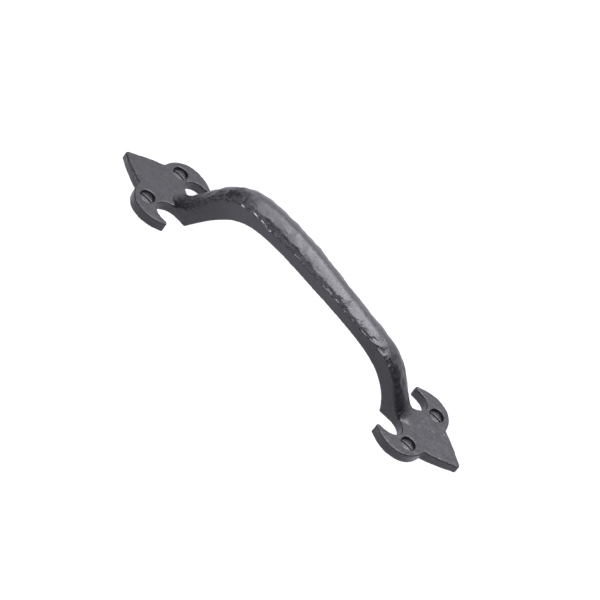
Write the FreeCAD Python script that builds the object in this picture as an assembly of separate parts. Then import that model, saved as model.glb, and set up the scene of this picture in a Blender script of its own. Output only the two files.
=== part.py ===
"""Cast-iron bow pull handle with two spear-and-crescent end plates and four wood screws.

Frame: millimetres, +Z away from the door, z = 0 on the door's face.  The origin is midway
between the four screws.  X runs along the handle; -X is its upper end on an upright door.
"""
import FreeCAD, Part
import os

from FreeCAD import Vector

# ---- Driving dimensions, end plates ----
OVERALL_LENGTH = 205.0      # spear tip to spear tip
PLATE_THICKNESS = 5.3
TIP_DROP = 1.2              # the spear's top face falls by this much towards its tip
TIP_ROUND = 1.2             # half-width of the blunt spear tip
SHOULDER_X = 87.0           # inside corner between spear and lobe
SHOULDER_Y = 9.8

# ---- Driving dimensions, screws and their holes ----
SCREW_SPACING_X = 159.0
SCREW_SPACING_Y = 26.0
HEAD_RADIUS = 3.35          # No. 6 countersunk head
HEAD_RIM = 0.2              # straight rim above the head's cone
HEAD_CROWN = 0.5            # rise of the head's low dome above its rim
SHANK_RADIUS = 1.4          # plain shank between head and thread
THREAD_RADIUS = 1.75        # crest of the 3.5 mm thread, which starts at the door's face
SCREW_LENGTH = 25.0         # from the head's rim to the point
SLOT_WIDTH = 0.9
SLOT_DEPTH = 0.9
HEAD_RECESS = 1.5           # head's rim lies this far below the plate's top
RECESS_RADIUS = 3.65
HOLE_RADIUS = 1.95
POINT_LENGTH = 3.5

# ---- Driving dimensions, grip ----
FOOT_X = 60.0               # inner corner of each foot, where the grip meets the door
NECK_HALF_WIDTH = 5.2
GRIP_ROOT_X = 76.0          # how far the grip's root reaches into each plate
CROWN_ROUND_UPPER = 3.2     # rounding along the grip's outer edges at its upper end
CROWN_ROUND_LOWER = 1.4     # and at its lower end, where the section is squarer
# Grip's underside and outer face as seen from the side, (x, z); the bow stands a little
# higher towards its upper end.
UNDERSIDE = [(-FOOT_X, 0.0), (-55.0, 8.2), (-48.0, 18.2), (-39.0, 26.0), (-26.0, 28.8),
             (0.0, 26.6), (28.0, 22.6), (43.0, 18.4), (52.0, 12.4), (FOOT_X, 0.0)]
OUTER_FACE = [(-GRIP_ROOT_X, 5.1), (-70.0, 6.8), (-65.0, 12.6), (-58.5, 24.0), (-51.5, 32.8),
              (-42.0, 38.4), (-28.0, 40.2), (0.0, 37.3), (28.0, 31.4), (43.0, 28.2),
              (51.5, 24.4), (58.5, 18.4), (65.0, 11.4), (70.0, 6.8), (GRIP_ROOT_X, 5.1)]
# Grip's half-width along its length, (x, y): fullest behind the upper shoulder.
GRIP_PLAN = [(-GRIP_ROOT_X, 5.2), (-FOOT_X, 5.3), (-36.0, 6.2), (0.0, 5.8), (36.0, 5.3),
             (FOOT_X, NECK_HALF_WIDTH), (GRIP_ROOT_X, NECK_HALF_WIDTH)]

HEAD_TOP_Z = PLATE_THICKNESS - HEAD_RECESS
TIP_X = OVERALL_LENGTH / 2.0


def spline(points):
    """Smooth edge through a list of vectors."""
    curve = Part.BSplineCurve()
    curve.interpolate(points)
    return curve.toShape()


def arc(start, middle, end):
    return Part.Arc(start, middle, end).toShape()


def plate_half_edges(side):
    """Edges of one half of the lower plate's outline, from the neck to the spear tip.

    side is +1 for the +Y half and -1 for the -Y half."""
    def at(x, y):
        return Vector(x, side * y, 0.0)
    return [
        Part.LineSegment(at(FOOT_X, NECK_HALF_WIDTH), at(66.0, NECK_HALF_WIDTH)).toShape(),
        # notch between the neck and the crescent wing
        arc(at(66.0, NECK_HALF_WIDTH), at(71.6, 6.9), at(74.3, 11.2)),
        arc(at(74.3, 11.2), at(72.2, 15.0), at(67.6, 16.5)),
        Part.LineSegment(at(67.6, 16.5), at(64.8, 16.8)).toShape(),
        # blunt wing tip
        arc(at(64.8, 16.8), at(64.1, 17.6), at(65.0, 18.4)),
        # outside of the wing and the round lobe that holds the screw
        spline([at(65.0, 18.4), at(69.5, 20.6), at(75.8, 21.4), at(82.4, 19.1),
                at(86.0, 14.2), at(SHOULDER_X, SHOULDER_Y)]),
        # spear
        arc(at(SHOULDER_X, SHOULDER_Y), at(95.0, 5.6), at(TIP_X - 0.9, TIP_ROUND)),
    ]


def plate_outline():
    """Closed outline of the lower plate on z = 0."""
    spear_tip = arc(Vector(TIP_X - 0.9, TIP_ROUND, 0.0), Vector(TIP_X, 0.0, 0.0),
                    Vector(TIP_X - 0.9, -TIP_ROUND, 0.0))
    neck_end = Part.LineSegment(Vector(FOOT_X, -NECK_HALF_WIDTH, 0.0),
                                Vector(FOOT_X, NECK_HALF_WIDTH, 0.0)).toShape()
    edges = plate_half_edges(1) + [spear_tip] + plate_half_edges(-1) + [neck_end]
    return Part.Wire(Part.__sortEdges__(edges))


def spear_slope_cutter():
    """Wedge that lowers the spear's top face towards the tip."""
    reach = TIP_X - SHOULDER_X
    overrun = 5.0
    low = PLATE_THICKNESS - TIP_DROP * (reach + overrun) / reach
    corners = [Vector(SHOULDER_X, -SHOULDER_Y - overrun, PLATE_THICKNESS),
               Vector(TIP_X + overrun, -SHOULDER_Y - overrun, low),
               Vector(TIP_X + overrun, -SHOULDER_Y - overrun, PLATE_THICKNESS)]
    face = Part.Face(Part.makePolygon(corners + corners[:1]))
    return face.extrude(Vector(0.0, 2.0 * (SHOULDER_Y + overrun), 0.0))


def lower_plate():
    """End plate at +X."""
    slab = Part.Face(plate_outline()).extrude(Vector(0.0, 0.0, PLATE_THICKNESS))
    return slab.cut(spear_slope_cutter())


def grip():
    """Bow-shaped bar: its side view and its plan view, extruded and intersected."""
    tall = max(z for _, z in OUTER_FACE)
    wide = max(y for _, y in GRIP_PLAN)
    underside = spline([Vector(x, 0.0, z) for x, z in UNDERSIDE])
    outer = spline([Vector(x, 0.0, z) for x, z in OUTER_FACE])
    ends = []
    for sign in (-1.0, 1.0):
        root_top = OUTER_FACE[0][1]
        foot = Vector(sign * FOOT_X, 0.0, 0.0)
        root = Vector(sign * GRIP_ROOT_X, 0.0, 0.0)
        ends.append(Part.LineSegment(foot, root).toShape())
        ends.append(Part.LineSegment(root, root + Vector(0.0, 0.0, root_top)).toShape())
    side_wire = Part.Wire(Part.__sortEdges__([underside, outer] + ends))
    side_face = Part.Face(side_wire)
    side_face.translate(Vector(0.0, -2.0 * wide, 0.0))
    side_view = side_face.extrude(Vector(0.0, 4.0 * wide, 0.0))

    plan_edges = [spline([Vector(x, sign * y, 0.0) for x, y in GRIP_PLAN]) for sign in (-1.0, 1.0)]
    for x, y in (GRIP_PLAN[0], GRIP_PLAN[-1]):
        plan_edges.append(Part.LineSegment(Vector(x, -y, 0.0), Vector(x, y, 0.0)).toShape())
    plan_face = Part.Face(Part.Wire(Part.__sortEdges__(plan_edges)))
    plan_view = plan_face.extrude(Vector(0.0, 0.0, 2.0 * tall))

    bar = side_view.common(plan_view)
    for sign in (-1.0, 1.0):
        bar = round_long_edge(bar, sign, tall)
    return bar


def round_long_edge(bar, sign, tall):
    """Round the outer edge on the +Y or -Y side, more at the upper end than at the lower."""
    edge = next(edge for edge in bar.Edges
                if edge.BoundBox.ZMax > tall - 1.0 and edge.BoundBox.XLength > FOOT_X
                and sign * edge.CenterOfMass.y > NECK_HALF_WIDTH / 2.0)
    radii = [CROWN_ROUND_UPPER, CROWN_ROUND_LOWER]
    if edge.valueAt(edge.FirstParameter).x > edge.valueAt(edge.LastParameter).x:
        radii.reverse()
    return bar.makeFillet(radii[0], radii[1], [edge])


def screw_places():
    """Name and (x, y) of each screw."""
    places = {}
    for end, end_sign in (("upper", -1.0), ("lower", 1.0)):
        for hand, hand_sign in (("left", -1.0), ("right", 1.0)):
            place = (end_sign * SCREW_SPACING_X / 2.0, hand_sign * SCREW_SPACING_Y / 2.0)
            places[end + "_" + hand + "_screw"] = place
    return places


def hole_cutter(x, y):
    """Recess, countersink and through hole for one screw."""
    cone_top = HEAD_TOP_Z - HEAD_RIM
    profile = [Vector(0.0, 0.0, -1.0), Vector(HOLE_RADIUS, 0.0, -1.0),
               Vector(HOLE_RADIUS, 0.0, cone_top - (HEAD_RADIUS - HOLE_RADIUS)),
               Vector(HEAD_RADIUS, 0.0, cone_top),
               Vector(RECESS_RADIUS, 0.0, cone_top),
               Vector(RECESS_RADIUS, 0.0, PLATE_THICKNESS + 1.0),
               Vector(0.0, 0.0, PLATE_THICKNESS + 1.0)]
    return revolved(profile, x, y)


def revolved(profile, x, y):
    """Solid of revolution about the vertical line through (x, y)."""
    face = Part.Face(Part.makePolygon(profile + profile[:1]))
    solid = face.revolve(Vector(0.0, 0.0, 0.0), Vector(0.0, 0.0, 1.0), 360.0)
    solid.translate(Vector(x, y, 0.0))
    return solid


def screw(x, y):
    """Slotted countersunk wood screw; its threaded length is a plain crest cylinder."""
    cone_top = HEAD_TOP_Z - HEAD_RIM
    cone_bottom = cone_top - (HEAD_RADIUS - SHANK_RADIUS)
    point_z = HEAD_TOP_Z - SCREW_LENGTH
    profile = [Vector(0.0, 0.0, HEAD_TOP_Z), Vector(HEAD_RADIUS, 0.0, HEAD_TOP_Z),
               Vector(HEAD_RADIUS, 0.0, cone_top), Vector(SHANK_RADIUS, 0.0, cone_bottom),
               Vector(SHANK_RADIUS, 0.0, 0.0), Vector(THREAD_RADIUS, 0.0, 0.0),
               Vector(THREAD_RADIUS, 0.0, point_z + POINT_LENGTH), Vector(0.0, 0.0, point_z)]
    crown_radius = (HEAD_RADIUS ** 2 + HEAD_CROWN ** 2) / (2.0 * HEAD_CROWN)
    crown_centre = Vector(x, y, HEAD_TOP_Z + HEAD_CROWN - crown_radius)
    crown = Part.makeSphere(crown_radius, crown_centre)
    crown = crown.common(Part.makeCylinder(HEAD_RADIUS, HEAD_CROWN, Vector(x, y, HEAD_TOP_Z)))
    body = revolved(profile, x, y).fuse(crown).removeSplitter()
    slot_length = 3.0 * HEAD_RADIUS
    slot = Part.makeBox(slot_length, SLOT_WIDTH, 2.0 * SLOT_DEPTH,
                        Vector(x - slot_length / 2.0, y - SLOT_WIDTH / 2.0,
                               HEAD_TOP_Z - SLOT_DEPTH))
    return body.cut(slot)


def handle_casting():
    """Grip and both end plates, poured as one casting, with its four screw holes."""
    lower = lower_plate()
    upper = lower.mirror(Vector(0.0, 0.0, 0.0), Vector(1.0, 0.0, 0.0))
    casting = grip().fuse([lower, upper])
    for x, y in screw_places().values():
        casting = casting.cut(hole_cutter(x, y))
    return casting.removeSplitter()


def write(node, shape):
    """Save one solid as its node's STEP file."""
    solid = shape.Solids[0]
    if len(shape.Solids) != 1 or not solid.isValid():
        raise ValueError(node + " is not one valid solid")
    solid.exportStep("parts/" + node + ".step")
    print(node, "volume mm3", round(solid.Volume, 1))


os.makedirs("parts", exist_ok=True)
write("handle_casting", handle_casting())
for name, (screw_x, screw_y) in screw_places().items():
    write(name, screw(screw_x, screw_y))
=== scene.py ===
"""Cast-iron bow pull handle: looks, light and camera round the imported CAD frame.

Blender works in metres.  The shaping of the handle's skin is written in millimetres, in the
CAD's frame: X along the handle with its upper end at -X, Y across it, Z away from the door.
"""
import math

import bpy
import numpy as np
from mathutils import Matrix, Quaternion, Vector, noise


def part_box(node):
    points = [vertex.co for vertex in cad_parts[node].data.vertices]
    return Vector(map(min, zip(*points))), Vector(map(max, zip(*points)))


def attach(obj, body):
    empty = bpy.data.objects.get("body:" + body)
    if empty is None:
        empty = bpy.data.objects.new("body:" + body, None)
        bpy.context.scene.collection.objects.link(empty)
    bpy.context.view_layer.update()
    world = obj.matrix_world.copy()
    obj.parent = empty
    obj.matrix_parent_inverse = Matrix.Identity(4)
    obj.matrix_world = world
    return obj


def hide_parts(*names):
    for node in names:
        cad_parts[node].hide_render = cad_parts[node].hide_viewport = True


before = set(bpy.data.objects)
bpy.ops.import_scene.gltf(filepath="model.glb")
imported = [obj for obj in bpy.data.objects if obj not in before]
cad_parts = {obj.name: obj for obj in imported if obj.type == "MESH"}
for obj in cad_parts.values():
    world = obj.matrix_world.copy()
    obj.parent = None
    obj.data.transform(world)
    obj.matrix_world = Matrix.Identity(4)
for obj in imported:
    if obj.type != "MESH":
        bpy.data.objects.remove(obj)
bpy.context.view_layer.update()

MM = 0.001

# ---- Camera: where it stands, what it looks at, its roll and its lens ----
CAMERA_AT = Vector((0.1110, -0.7264, 0.6724))
CAMERA_AIM = Vector((0.0016, -0.0032, 0.0140))
CAMERA_ROLL = math.radians(37.65)
CAMERA_LENS = 134.1

# ---- Light: how bright each source looks beside white paper, place and size in metres ----
OVERHEAD = 3.5              # whole ceiling softbox
OVERHEAD_AT = Vector((-0.20, -0.60, 1.2))
OVERHEAD_SIZE = (1.36, 2.3)
OVERHEAD_CORE = 5.0         # its hot side, added to it
OVERHEAD_CORE_AT = Vector((0.31, -0.40, 1.1))
OVERHEAD_CORE_SIZE = (0.42, 2.3)
PALE_WALL = 1.7
DARK_ROOM = 0.04
WALL_TOWARDS = Vector((0.0, 0.80, 0.60)).normalized()
WALL_RISE = (0.4, 0.97)     # cosine from the wall's middle at which the room turns pale
FLOOR_GLOW = 1.18
FLOOR_HALF = 3.0
FLOOR_Z = -0.1 * MM         # just under the plates' backs
LIGHT_TINT = (1.0, 0.98, 1.06)
LAMP_WATTS = 4.0            # Cycles' watts for a square metre of lamp with a radiance of 1

# ---- Colours ----
COAT_DARK = (0.003, 0.003, 0.004, 1.0)
COAT_LIGHT = (0.006, 0.006, 0.008, 1.0)
RUBBED_DARK = (0.012, 0.012, 0.014, 1.0)
RUBBED_LIGHT = (0.026, 0.026, 0.029, 1.0)
# painted sheen: a paler base colour on the side faces stands in for the brighter reflection there
SIDE_PAINTED_SHEEN = (0.020, 0.020, 0.024, 1.0)
DUST = (0.013, 0.013, 0.015, 1.0)
# bare iron on chipped edges, and the colour of a painted glint along the broken lip
BARE_IRON_AND_PAINTED_GLINT = (0.34, 0.34, 0.36, 1.0)
SCREW_DARK = (0.010, 0.010, 0.012, 1.0)
SCREW_LIGHT = (0.035, 0.035, 0.037, 1.0)
# rubbed steel on the screws' sharp edges, also a painted edge highlight there
SCREW_RUBBED_AND_HIGHLIGHT = (0.13, 0.13, 0.135, 1.0)
TABLE_GREY = (0.04, 0.04, 0.04, 1.0)
TABLE_GLOW = (0.93, 0.91, 1.0, 1.0)

# ---- Grip's shape in millimetres, as the CAD has it ----
PLATE_TOP = 5.3
OUTER_FACE = [(-76.0, 5.1), (-70.0, 6.8), (-65.0, 12.6), (-58.5, 24.0), (-51.5, 32.8),
              (-42.0, 38.4), (-28.0, 40.2), (0.0, 37.3), (28.0, 31.4), (43.0, 28.2),
              (51.5, 24.4), (58.5, 18.4), (65.0, 11.4), (70.0, 6.8), (76.0, 5.1)]
GRIP_PLAN = [(-76.0, 5.2), (-60.0, 5.3), (-36.0, 6.2), (0.0, 5.8), (36.0, 5.3),
             (60.0, 5.2), (76.0, 5.2)]

# ---- Crown and crease of the grip, in millimetres ----
# Depth of the ragged crease below the crown's ridge, (x along the grip, depth).
CREASE_DEPTH = [(-70.0, 2.4), (-62.0, 2.8), (-50.0, 3.4), (-43.0, 4.2), (-36.0, 5.2),
                (-25.0, 5.8), (-10.0, 5.6), (2.0, 5.0), (12.0, 4.1), (30.0, 3.4),
                (40.0, 2.4), (50.0, 1.8), (58.0, 2.0), (64.0, 2.5), (70.0, 2.5)]
FAR_CREASE = 0.64           # depth of the crease on the +Y side beside the one on the -Y side
CROWN_POWER = 2.0           # 2 is a round crown, more is flatter
CROWN_DROP = 0.77           # part of the crease's depth that the crown falls by itself
CREASE_SLOPE = 2.7          # slope of the broken bevel from the crown down to the crease
CREASE_WANDER = (0.12, 0.16)    # parts of its depth by which the crease sways and shakes
DROP_WANDER = 0.14          # part by which the crown's drop changes from place to place
SLOPE_WANDER = 0.5          # and the bevel's slope
CROWN_FADE = (67.0, 75.0)   # the crown melts into the plates between these distances

# ---- Height of the hammered and cast relief, in millimetres ----
INFLATE = 0.12              # the whole skin but its back stands this far off the CAD's surface
DENT_DEPTH = 0.16           # hammer dishes on the crown
CROWN_WAVE = 0.07           # finer lumps on the crown
BEND_WAVE = 0.16            # added to them where the bow bends down to its feet
FLAKE_DEPTH = 0.55          # flakes of the broken edge along the crease
CHIP_DEPTH = 0.20           # and its small chips
GROOVE_DEPTH = 0.32         # groove in the broken edge, just above the crease
UPPER_ROOT_WAVE = 0.24      # rough skin where the grip runs into the upper plate
LOWER_ROOT_WAVE = 0.10      # and into the lower one
CAST_WAVE = 0.05            # slow lumps everywhere but on the crown
PLATE_WAVE = 0.09           # added to them on the plates
CAST_GRAIN = 0.03           # fine lumps in the same places
PLATE_GRAIN = 0.04

# ---- Where the relief lies, in millimetres ----
EDGE_BAND = (-0.9, 1.3)     # broken edge: depth of its middle below the crease, and its spread
GROOVE_BAND = (-0.65, 0.55)
FAR_EDGE = 0.5              # strength on the +Y side beside the -Y side
FAR_GROOVE = 0.4
EDGE_END = (50.0, 56.0)     # edge and groove fade out between these places along X
# Zones that fade in over the first range and out over the second: the bends and roots by
# distance from the handle's middle, the worn crown and the side's painted sheen along X.
BENDS = ((38.0, 46.0), (58.0, 66.0))
ROOTS = ((60.0, 66.0), (74.0, 80.0))
WORN_CROWN = ((-56.0, -44.0), (36.0, 48.0))
SIDE_PAINTED_SHEEN_ZONE = ((-62.0, -46.0), (10.0, 45.0))
PAINTED_GLINT_STRETCH = (-46.0, -26.0)     # stretch along X where a glint is painted on the broken edge
NO_LIP = 9.0                # stored where no glint is painted: far from any lip

# ---- Noise patterns: width of a lump in millimetres, seed, stretch along X, Y and Z ----
CREASE_SWAY = (9.0, 3)
CREASE_SHAKE = (3.2, 8)
CROWN_SWELL = (3.4, 12, (1.4, 1.0, 1.0))
BEVEL_SWELL = (4.5, 21)
DENTS = (7.0, 1, (1.3, 0.9, 1.0))
CROWN_LUMPS = (2.4, 2, (1.5, 1.0, 1.0))
FLAKES = (2.6, 4, (1.5, 0.8, 0.8))
CHIPS = (1.3, 5, (1.6, 0.8, 0.8))
GROOVE_GAPS = (3.0, 15, (1.5, 1.0, 1.0))
ROOT_LUMPS = (1.9, 9)
CAST_LUMPS = (4.0, 6, (1.6, 1.0, 1.0))
CAST_SPECKS = (1.8, 7)

# ---- Screw thread in millimetres ----
THREAD_PITCH = 1.4
THREAD_DEPTH = 0.5
THREAD_RADIUS = 1.75
THREAD_RISE = (0.2, 1.2)    # the thread fades in between these depths in the door

# ---- Mesh sizes in metres ----
CASTING_VOXEL = 0.000375
SCREW_VOXEL = 0.00015


# ======== Mesh tools ========

def spline_points(points, count):
    """Dense samples of a natural cubic spline through (x, y) points."""
    knots = np.array(points, float)
    steps = np.linalg.norm(np.diff(knots, axis=0), axis=1)
    t = np.concatenate([[0.0], np.cumsum(steps)])
    size = len(knots)
    system = np.eye(size)
    right = np.zeros((size, 2))
    for i in range(1, size - 1):
        before, after = steps[i - 1], steps[i]
        system[i, i - 1:i + 2] = (before, 2.0 * (before + after), after)
        right[i] = 6.0 * ((knots[i + 1] - knots[i]) / after - (knots[i] - knots[i - 1]) / before)
    bend = np.linalg.solve(system, right)
    at = np.linspace(0.0, t[-1], count)
    i = np.clip(np.searchsorted(t, at) - 1, 0, size - 2)
    step = steps[i][:, None]
    a = (t[i + 1] - at)[:, None] / step
    b = 1.0 - a
    curve = a * knots[i] + b * knots[i + 1]
    return curve + ((a ** 3 - a) * bend[i] + (b ** 3 - b) * bend[i + 1]) * step ** 2 / 6.0


def smooth_step(low, high, value):
    """0 below low, 1 above high, and a smooth rise between them."""
    t = np.clip((value - low) / (high - low), 0.0, 1.0)
    return t * t * (3.0 - 2.0 * t)


def between(value, rise, fall):
    """1 from the end of the rise to the start of the fall, and 0 outside them."""
    return smooth_step(*rise, value) * (1.0 - smooth_step(*fall, value))


def bell(value, middle, spread):
    """1 at the middle, falling to 0 over about twice the spread."""
    return np.exp(-((value - middle) / spread) ** 2)


def remeshed(node, name, voxel):
    """New object: the CAD node's surface as an even mesh of small quads."""
    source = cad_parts[node]
    shell = bpy.data.objects.new(name + "_shell", source.data.copy())
    bpy.context.scene.collection.objects.link(shell)
    remesh = shell.modifiers.new("remesh", "REMESH")
    remesh.mode = "VOXEL"
    remesh.voxel_size = voxel
    graph = bpy.context.evaluated_depsgraph_get()
    mesh = bpy.data.meshes.new_from_object(shell.evaluated_get(graph))
    bpy.data.objects.remove(shell)
    mesh.name = name
    piece = bpy.data.objects.new(name, mesh)
    bpy.context.scene.collection.objects.link(piece)
    mesh.materials.clear()
    mesh.polygons.foreach_set("use_smooth", np.ones(len(mesh.polygons), bool))
    return piece


def read_points(mesh):
    """Vertex positions in millimetres."""
    points = np.empty(len(mesh.vertices) * 3)
    mesh.vertices.foreach_get("co", points)
    return points.reshape(-1, 3) / MM


def write_points(mesh, points):
    mesh.vertices.foreach_set("co", (points * MM).ravel())
    mesh.update()


def read_normals(mesh):
    normals = np.empty(len(mesh.vertices) * 3)
    mesh.vertices.foreach_get("normal", normals)
    return normals.reshape(-1, 3)


def read_edges(mesh):
    edges = np.empty(len(mesh.edges) * 2, np.int64)
    mesh.edges.foreach_get("vertices", edges)
    return edges.reshape(-1, 2)


def relaxed(points, edges, rounds):
    """Points moved halfway to the mean of their neighbours in each round, as filing softens
    an edge."""
    count = np.bincount(edges.ravel(), minlength=len(points))[:, None]
    for _ in range(rounds):
        total = np.zeros_like(points)
        for axis in range(3):
            total[:, axis] = np.bincount(edges[:, 0], points[edges[:, 1], axis], len(points))
            total[:, axis] += np.bincount(edges[:, 1], points[edges[:, 0], axis], len(points))
        points = points + 0.5 * (total / count - points)
    return points


def noise_at(points, size, seed, stretch=(1.0, 1.0, 1.0)):
    """Smooth noise from -1 to 1 at each point; size is the width of its lumps in mm."""
    scaled = points / (size * np.array(stretch)) + seed * 17.3
    return np.array([noise.noise(Vector(p)) for p in scaled])


def dents_at(points, size, seed, stretch=(1.0, 1.0, 1.0)):
    """Shallow overlapping dishes, 0 at a dish's middle and 1 on the ridges between."""
    scaled = points / (size * np.array(stretch)) + seed * 11.7
    dents = np.empty(len(points))
    for i, p in enumerate(scaled):
        near = noise.voronoi(Vector(p))[0]
        dents[i] = near[0] / max(near[1], 1e-6)
    return dents ** 2


def sharpness(points, edges, normals):
    """How far each point stands proud of its neighbours, in mm: high on a sharp edge."""
    return ((points - relaxed(points, edges, 4)) * normals).sum(axis=1)


def add_field(mesh, name, values):
    """Store a number per vertex for the material to read."""
    field = mesh.attributes.new(name, "FLOAT", "POINT")
    field.data.foreach_set("value", np.asarray(values, np.float32))


# ======== Casting ========

def half_width(points):
    """The CAD grip's half-width at each point's place along the handle."""
    return np.interp(points[:, 0], *spline_points(GRIP_PLAN, 200).T)


def grip_coordinates(points):
    """For each point: depth below the crown's ridge in the side view, ridge station x,
    and the side view's unit direction away from the ridge."""
    ridge = spline_points(OUTER_FACE, 600)
    depth = np.empty(len(points))
    station = np.empty(len(points))
    away = np.empty((len(points), 2))
    side = points[:, [0, 2]]
    batch = 4000
    for start in range(0, len(points), batch):
        chunk = side[start:start + batch]
        gap = np.linalg.norm(chunk[:, None, :] - ridge[None, :, :], axis=2)
        nearest = gap.argmin(axis=1)
        tangent = np.gradient(ridge, axis=0)[nearest]
        tangent /= np.linalg.norm(tangent, axis=1)[:, None]
        inward = np.stack([tangent[:, 1], -tangent[:, 0]], axis=1)
        offset = chunk - ridge[nearest]
        depth[start:start + batch] = (offset * inward).sum(axis=1)
        station[start:start + batch] = ridge[nearest, 0]
        away[start:start + batch] = inward
    return depth, station, away


def crease_at(station, across):
    """Depth of the crease below the ridge, wandering a little as a hammered edge does."""
    crease = np.interp(station, *np.array(CREASE_DEPTH).T)
    crease *= 1.0 + (FAR_CREASE - 1.0) * smooth_step(-1.0, 1.0, across)
    line = np.stack([station, 9.0 * np.sign(across), np.zeros(len(station))], axis=1)
    sway, shake = CREASE_WANDER
    return crease * (1.0 + sway * noise_at(line, *CREASE_SWAY) + shake * noise_at(line, *CREASE_SHAKE))


def shape_crown(points, depth, station, away, crease):
    """Pull the squared-off outer face of the grip in to its domed crown.

    A point above the crease moves straight towards the crease's middle, in a cross-section,
    until it lies on the crown or on the bevel, whichever is lower."""
    half = half_width(points)
    across = points[:, 1]
    above_crease = crease - depth
    on_grip = (above_crease > 0.0) & (np.abs(across) < half + 0.5)
    drop = crease * CROWN_DROP * (1.0 + DROP_WANDER * noise_at(points, *CROWN_SWELL))
    slope = CREASE_SLOPE * (1.0 + SLOPE_WANDER * noise_at(points, *BEVEL_SWELL))
    low = np.zeros(len(points))
    high = np.full(len(points), 1.0)
    for _ in range(20):
        pull = 0.5 * (low + high)
        outer = np.abs(pull * across / half)
        crown = drop * outer ** CROWN_POWER
        bevel = crease - slope * half * (1.0 - outer)
        outside = crease - pull * above_crease < np.maximum(crown, bevel)
        low = np.where(outside, low, pull)
        high = np.where(outside, pull, high)
    fade = 1.0 - smooth_step(*CROWN_FADE, np.abs(station))
    pull = 1.0 + (low - 1.0) * fade * on_grip
    sink = above_crease * (1.0 - pull)
    shaped = points.copy()
    shaped[:, 1] = across * pull
    shaped[:, [0, 2]] += away * sink[:, None]
    return shaped


def skin_zones(points, depth, crease):
    """How far each point lies in each zone of the casting's skin, from 0 to 1."""
    half = half_width(points)
    along = np.abs(points[:, 0])
    across = np.abs(points[:, 1])
    height = points[:, 2] - PLATE_TOP
    outer = across / half
    near = points[:, 1] < 0.0
    below = depth - crease
    bar = smooth_step(0.5, 4.0, height) * (across < half + 1.0)
    begun = 1.0 - smooth_step(*EDGE_END, points[:, 0])
    edge = bar * smooth_step(0.55, 0.80, outer) * bell(below, *EDGE_BAND)
    groove = bar * smooth_step(0.6, 0.8, outer) * bell(below, *GROOVE_BAND)
    root = between(along, *ROOTS) * smooth_step(0.1, 1.0, height)
    return {
        "top": bar * (1.0 - smooth_step(-0.8, 0.4, below)),
        "edge": edge * begun * np.where(near, 1.0, FAR_EDGE),
        "groove": groove * begun * np.where(near, 1.0, FAR_GROOVE),
        "bend": between(along, *BENDS),
        "root": root * (across < half + 1.5),
        "plate": 1.0 - smooth_step(0.3, 1.5, height),
    }


def cast_relief(points, zones):
    """Height in mm of the hammered and cast texture at each point."""
    top = zones["top"]
    lift = INFLATE + top * DENT_DEPTH * (dents_at(points, *DENTS) - 0.5)
    lift += top * (CROWN_WAVE + BEND_WAVE * zones["bend"]) * noise_at(points, *CROWN_LUMPS)

    chips = noise_at(points, *CHIPS)
    flakes = noise_at(points, *FLAKES) - 0.8 * np.abs(chips)
    lift += zones["edge"] * (FLAKE_DEPTH * flakes + CHIP_DEPTH * chips)
    lift -= GROOVE_DEPTH * zones["groove"] * (0.75 + noise_at(points, *GROOVE_GAPS))

    root_wave = np.where(points[:, 0] > 0.0, LOWER_ROOT_WAVE, UPPER_ROOT_WAVE)
    lift += zones["root"] * root_wave * noise_at(points, *ROOT_LUMPS)
    plate = zones["plate"]
    lift += (1.0 - top) * (CAST_WAVE + PLATE_WAVE * plate) * noise_at(points, *CAST_LUMPS)
    lift += (1.0 - top) * (CAST_GRAIN + PLATE_GRAIN * plate) * noise_at(points, *CAST_SPECKS)
    return lift


def add_finish_fields(mesh, points, depth, station, crease, zones):
    """Tell the material where the casting is rubbed, chipped and flat, where its lip gets a painted
    glint and where its side gets a painted sheen.
    """
    off_plate = points[:, 2] > PLATE_TOP + 1.0
    below = depth - crease
    facing_out = smooth_step(0.6, 0.9, read_normals(mesh)[:, 2])
    on_lip = off_plate & (points[:, 1] < -0.5)
    on_lip &= (station > PAINTED_GLINT_STRETCH[0]) & (station < PAINTED_GLINT_STRETCH[1])
    add_field(mesh, "wear", zones["top"] * between(station, *WORN_CROWN))
    add_field(mesh, "edge", zones["edge"])
    add_field(mesh, "flat", facing_out * (points[:, 2] < PLATE_TOP + 1.0))
    # where the painted glint goes: depth below the crease along the near lip
    add_field(mesh, "lip", np.where(on_lip, below, NO_LIP))
    # where the painted sheen goes on the side faces
    add_field(mesh, "side", smooth_step(-0.3, 0.6, below) * off_plate * between(station, *SIDE_PAINTED_SHEEN_ZONE))


def make_casting():
    """Handle casting: hammered crown, ragged creases, softened cast edges."""
    piece = remeshed("handle_casting", "handle_iron", CASTING_VOXEL)
    mesh = piece.data
    points = read_points(mesh)
    back = points[:, 2] < 0.1
    depth, station, away = grip_coordinates(points)
    points = shape_crown(points, depth, station, away, crease_at(station, points[:, 1]))
    points = relaxed(points, read_edges(mesh), 2)
    points[back, 2] = 0.0
    write_points(mesh, points)

    depth, station, away = grip_coordinates(points)
    crease = crease_at(station, points[:, 1])
    zones = skin_zones(points, depth, crease)
    lift = np.where(back, 0.0, cast_relief(points, zones))
    points = points + read_normals(mesh) * lift[:, None]
    points[back, 2] = 0.0
    points[:, 2] = np.maximum(points[:, 2], 0.0)
    write_points(mesh, points)
    add_finish_fields(mesh, points, depth, station, crease, zones)
    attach(piece, "root")
    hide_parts("handle_casting")
    return piece


# ======== Screws ========

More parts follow.
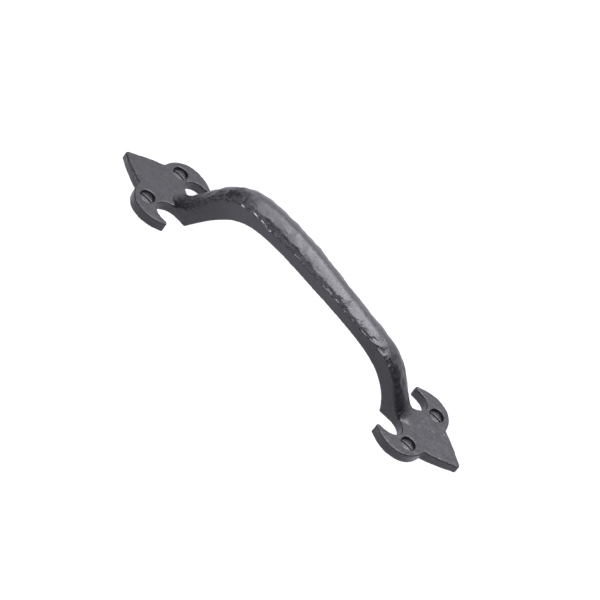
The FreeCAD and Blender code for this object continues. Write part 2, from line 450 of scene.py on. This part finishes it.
def make_screw(node):
    """Wood screw: CAD head and slot, with a helical thread cut into its threaded length."""
    piece = remeshed(node, node + "_steel", SCREW_VOXEL)
    mesh = piece.data
    points = relaxed(read_points(mesh), read_edges(mesh), 2)
    low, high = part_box(node)
    middle = (low + high) / 2.0 / MM
    x = points[:, 0] - middle.x
    y = points[:, 1] - middle.y
    radius = np.hypot(x, y)
    turn = np.arctan2(y, x) / (2.0 * math.pi)
    phase = (points[:, 2] / THREAD_PITCH - turn) % 1.0
    crest = 1.0 - smooth_step(0.10, 0.5, np.abs(phase - 0.5))
    threaded = smooth_step(*THREAD_RISE, -points[:, 2])
    cut = THREAD_DEPTH * (1.0 - crest) * threaded * np.minimum(radius / THREAD_RADIUS, 1.0)
    keep = 1.0 - cut / np.maximum(radius, 0.05)
    points[:, 0] = middle.x + x * keep
    points[:, 1] = middle.y + y * keep
    write_points(mesh, points)
    # sharp edges, where rubbed steel and a painted highlight go
    add_field(mesh, "rub_and_highlight", sharpness(points, read_edges(mesh), read_normals(mesh)))
    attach(piece, "root")
    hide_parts(node)
    return piece


# ======== Materials ========

class Paint:
    """A node material, with short calls for the nodes that it needs."""

    def __init__(self, name):
        self.material = bpy.data.materials.new(name)
        self.material.use_nodes = True
        self.tree = self.material.node_tree
        self.shader = self.tree.nodes["Principled BSDF"]
        self.place = self.node("ShaderNodeTexCoord").outputs["Object"]

    def node(self, kind, **inputs):
        made = self.tree.nodes.new(kind)
        for name, value in inputs.items():
            self.feed(made.inputs[name.replace("_", " ")], value)
        return made

    def feed(self, socket, value):
        if isinstance(value, bpy.types.NodeSocket):
            self.tree.links.new(value, socket)
        else:
            socket.default_value = value

    def noise(self, size_mm, detail, rough, stretch=(1.0, 1.0, 1.0)):
        """Noise from 0 to 1; a stretch below 1 makes its lumps longer that way."""
        mapping = self.node("ShaderNodeMapping", Vector=self.place, Scale=stretch)
        made = self.node("ShaderNodeTexNoise", Vector=mapping.outputs[0],
                         Scale=1.0 / (size_mm * MM), Detail=detail, Roughness=rough)
        return made.outputs["Fac"]

    def ramp(self, value, low, high, out_low=0.0, out_high=1.0):
        made = self.node("ShaderNodeMapRange", Value=value)
        made.inputs["From Min"].default_value = low
        made.inputs["From Max"].default_value = high
        made.inputs["To Min"].default_value = out_low
        made.inputs["To Max"].default_value = out_high
        return made.outputs["Result"]

    def math(self, operation, first, second=0.0):
        made = self.tree.nodes.new("ShaderNodeMath")
        made.operation = operation
        self.feed(made.inputs[0], first)
        self.feed(made.inputs[1], second)
        return made.outputs[0]

    def field(self, name):
        made = self.tree.nodes.new("ShaderNodeAttribute")
        made.attribute_name = name
        return made.outputs["Fac"]

    def mix(self, amount, first, second):
        made = self.tree.nodes.new("ShaderNodeMix")
        made.data_type = "RGBA"
        self.feed(made.inputs[0], amount)
        self.feed(made.inputs[6], first)
        self.feed(made.inputs[7], second)
        return made.outputs[2]

    def bump(self, height, distance_mm, strength=1.0, onto=None):
        made = self.node("ShaderNodeBump", Height=height, Strength=strength,
                         Distance=distance_mm * MM)
        if onto is not None:
            self.feed(made.inputs["Normal"], onto)
        return made.outputs["Normal"]


def japanned_iron():
    """Black stoved coat: rubbed on the crown, dusty on the plates, chipped to bare iron on its broken
    edge, with a painted glint along the lip and a painted sheen on the sides.
    """
    paint = Paint("japanned_iron")
    mottle = paint.noise(2.2, 5.0, 0.62)
    grain = paint.noise(0.5, 3.0, 0.6)
    brushed = paint.noise(0.7, 4.0, 0.6, (0.35, 1.0, 1.0))
    streaks = paint.noise(4.0, 2.0, 0.5, (0.6, 1.0, 1.0))
    specks = paint.noise(2.4, 4.0, 0.65, (0.5, 1.0, 1.0))
    wear = paint.field("wear")

    patches = paint.ramp(mottle, 0.3, 0.7)
    coat = paint.mix(patches, COAT_DARK, COAT_LIGHT)
    rubbed = paint.mix(patches, RUBBED_DARK, RUBBED_LIGHT)
    colour = paint.mix(wear, coat, rubbed)
    # painted sheen: the side faces' colour turns paler here as a stand-in for reflected light
    colour = paint.mix(paint.field("side"), colour, SIDE_PAINTED_SHEEN)
    dusty = paint.math("MULTIPLY", paint.ramp(specks, 0.40, 0.64), paint.field("flat"))
    colour = paint.mix(dusty, colour, DUST)

    chipped = paint.math("MULTIPLY", paint.field("edge"), paint.ramp(grain, 0.54, 0.64))
    # painted glint: a thin streaky line of bright iron colour along the lip, just above the crease
    from_lip = paint.math("ABSOLUTE", paint.math("ADD", paint.field("lip"), 0.25))
    lip = paint.ramp(from_lip, 0.18, 0.38, 1.0, 0.0)
    lip = paint.math("MULTIPLY", lip, paint.ramp(streaks, 0.43, 0.52))
    # chipped edges are real wear; the lip's share is the painted glint
    chips_and_painted_glint = paint.math("MAXIMUM", paint.math("MULTIPLY", chipped, 0.2), lip)
    colour = paint.mix(chips_and_painted_glint, colour, BARE_IRON_AND_PAINTED_GLINT)

    hammered = paint.ramp(wear, 0.0, 1.0, 1.0, 0.6)
    bumps = paint.bump(mottle, 0.25, hammered)
    bumps = paint.bump(brushed, 0.08, hammered, bumps)
    bumps = paint.bump(grain, 0.06, hammered, bumps)
    paint.feed(paint.shader.inputs["Base Color"], colour)
    paint.feed(paint.shader.inputs["Roughness"], paint.ramp(mottle, 0.3, 0.7, 0.26, 0.36))
    paint.feed(paint.shader.inputs["Normal"], bumps)
    paint.shader.inputs["IOR"].default_value = 1.5
    return paint.material


def screw_steel():
    """Blackened steel, rubbed paler on the head's and the slot's sharp edges, with a painted highlight
    on the same edges.
    """
    paint = Paint("black_screw_steel")
    grain = paint.noise(0.35, 3.0, 0.6)
    mottle = paint.noise(1.2, 3.0, 0.6)
    colour = paint.mix(paint.ramp(mottle, 0.35, 0.65), SCREW_DARK, SCREW_LIGHT)
    # rubbed steel on sharp edges, also a painted edge highlight
    rub_and_highlight = paint.ramp(paint.field("rub_and_highlight"), 0.015, 0.05)
    rub_and_highlight = paint.math("MULTIPLY", rub_and_highlight, paint.ramp(grain, 0.35, 0.6, 0.2, 1.0))
    colour = paint.mix(rub_and_highlight, colour, SCREW_RUBBED_AND_HIGHLIGHT)
    paint.feed(paint.shader.inputs["Base Color"], colour)
    paint.feed(paint.shader.inputs["Roughness"], paint.ramp(grain, 0.3, 0.7, 0.30, 0.45))
    paint.feed(paint.shader.inputs["Normal"], paint.bump(grain, 0.02))
    paint.shader.inputs["IOR"].default_value = 1.55
    return paint.material


# ======== Studio ========

def make_camera():
    """Camera looking at the handle, rolled about its own axis."""
    data = bpy.data.cameras.new("camera")
    data.lens = CAMERA_LENS
    data.sensor_width = 36.0
    data.clip_start = 0.05
    data.clip_end = 20.0
    camera = bpy.data.objects.new("camera", data)
    bpy.context.scene.collection.objects.link(camera)
    level = (CAMERA_AIM - CAMERA_AT).to_track_quat("-Z", "Y")
    camera.rotation_mode = "QUATERNION"
    camera.rotation_quaternion = level @ Quaternion((0.0, 0.0, 1.0), CAMERA_ROLL)
    camera.location = CAMERA_AT
    bpy.context.scene.camera = camera


def make_floor():
    """White light table under the handle."""
    mesh = bpy.data.meshes.new("floor")
    square = [(-1.0, -1.0), (1.0, -1.0), (1.0, 1.0), (-1.0, 1.0)]
    corners = [(x * FLOOR_HALF, y * FLOOR_HALF, FLOOR_Z) for x, y in square]
    mesh.from_pydata(corners, [], [(0, 1, 2, 3)])
    floor = bpy.data.objects.new("floor", mesh)
    bpy.context.scene.collection.objects.link(floor)
    paint = Paint("light_table")
    paint.shader.inputs["Base Color"].default_value = TABLE_GREY
    paint.shader.inputs["Roughness"].default_value = 1.0
    paint.shader.inputs["Specular IOR Level"].default_value = 0.0
    paint.shader.inputs["Emission Color"].default_value = TABLE_GLOW
    paint.shader.inputs["Emission Strength"].default_value = FLOOR_GLOW
    mesh.materials.append(paint.material)


def make_softbox(name, place, size, radiance):
    """Rectangular lamp facing straight down; radiance 1 looks white in a mirror."""
    data = bpy.data.lights.new(name, "AREA")
    data.shape = "RECTANGLE"
    data.size, data.size_y = size
    data.energy = LAMP_WATTS * radiance * size[0] * size[1]
    data.color = LIGHT_TINT
    lamp = bpy.data.objects.new(name, data)
    bpy.context.scene.collection.objects.link(lamp)
    lamp.location = place


def make_world():
    """Pale wall and ceiling beyond the table, on the +Y side, and a dark room elsewhere."""
    world = bpy.data.worlds.new("studio")
    bpy.context.scene.world = world
    world.use_nodes = True
    tree = world.node_tree
    place = tree.nodes.new("ShaderNodeTexCoord")
    towards = tree.nodes.new("ShaderNodeVectorMath")
    towards.operation = "DOT_PRODUCT"
    towards.inputs[1].default_value = WALL_TOWARDS
    tree.links.new(place.outputs["Generated"], towards.inputs[0])
    tree.nodes["Background"].inputs["Color"].default_value = (*LIGHT_TINT, 1.0)
    wall = tree.nodes.new("ShaderNodeMapRange")
    wall.interpolation_type = "SMOOTHSTEP"
    wall.inputs["From Min"].default_value = WALL_RISE[0]
    wall.inputs["From Max"].default_value = WALL_RISE[1]
    wall.inputs["To Min"].default_value = DARK_ROOM
    wall.inputs["To Max"].default_value = PALE_WALL
    tree.links.new(towards.outputs["Value"], wall.inputs["Value"])
    tree.links.new(wall.outputs["Result"], tree.nodes["Background"].inputs["Strength"])


def make_light():
    make_world()
    make_softbox("overhead_softbox", OVERHEAD_AT, OVERHEAD_SIZE, OVERHEAD)
    make_softbox("overhead_core", OVERHEAD_CORE_AT, OVERHEAD_CORE_SIZE, OVERHEAD_CORE)
    bpy.context.scene.view_settings.view_transform = "Standard"


make_camera()
casting = make_casting()
casting.data.materials.append(japanned_iron())
steel = screw_steel()
for node in sorted(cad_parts):
    if node.endswith("_screw"):
        make_screw(node).data.materials.append(steel)
make_floor()
make_light()
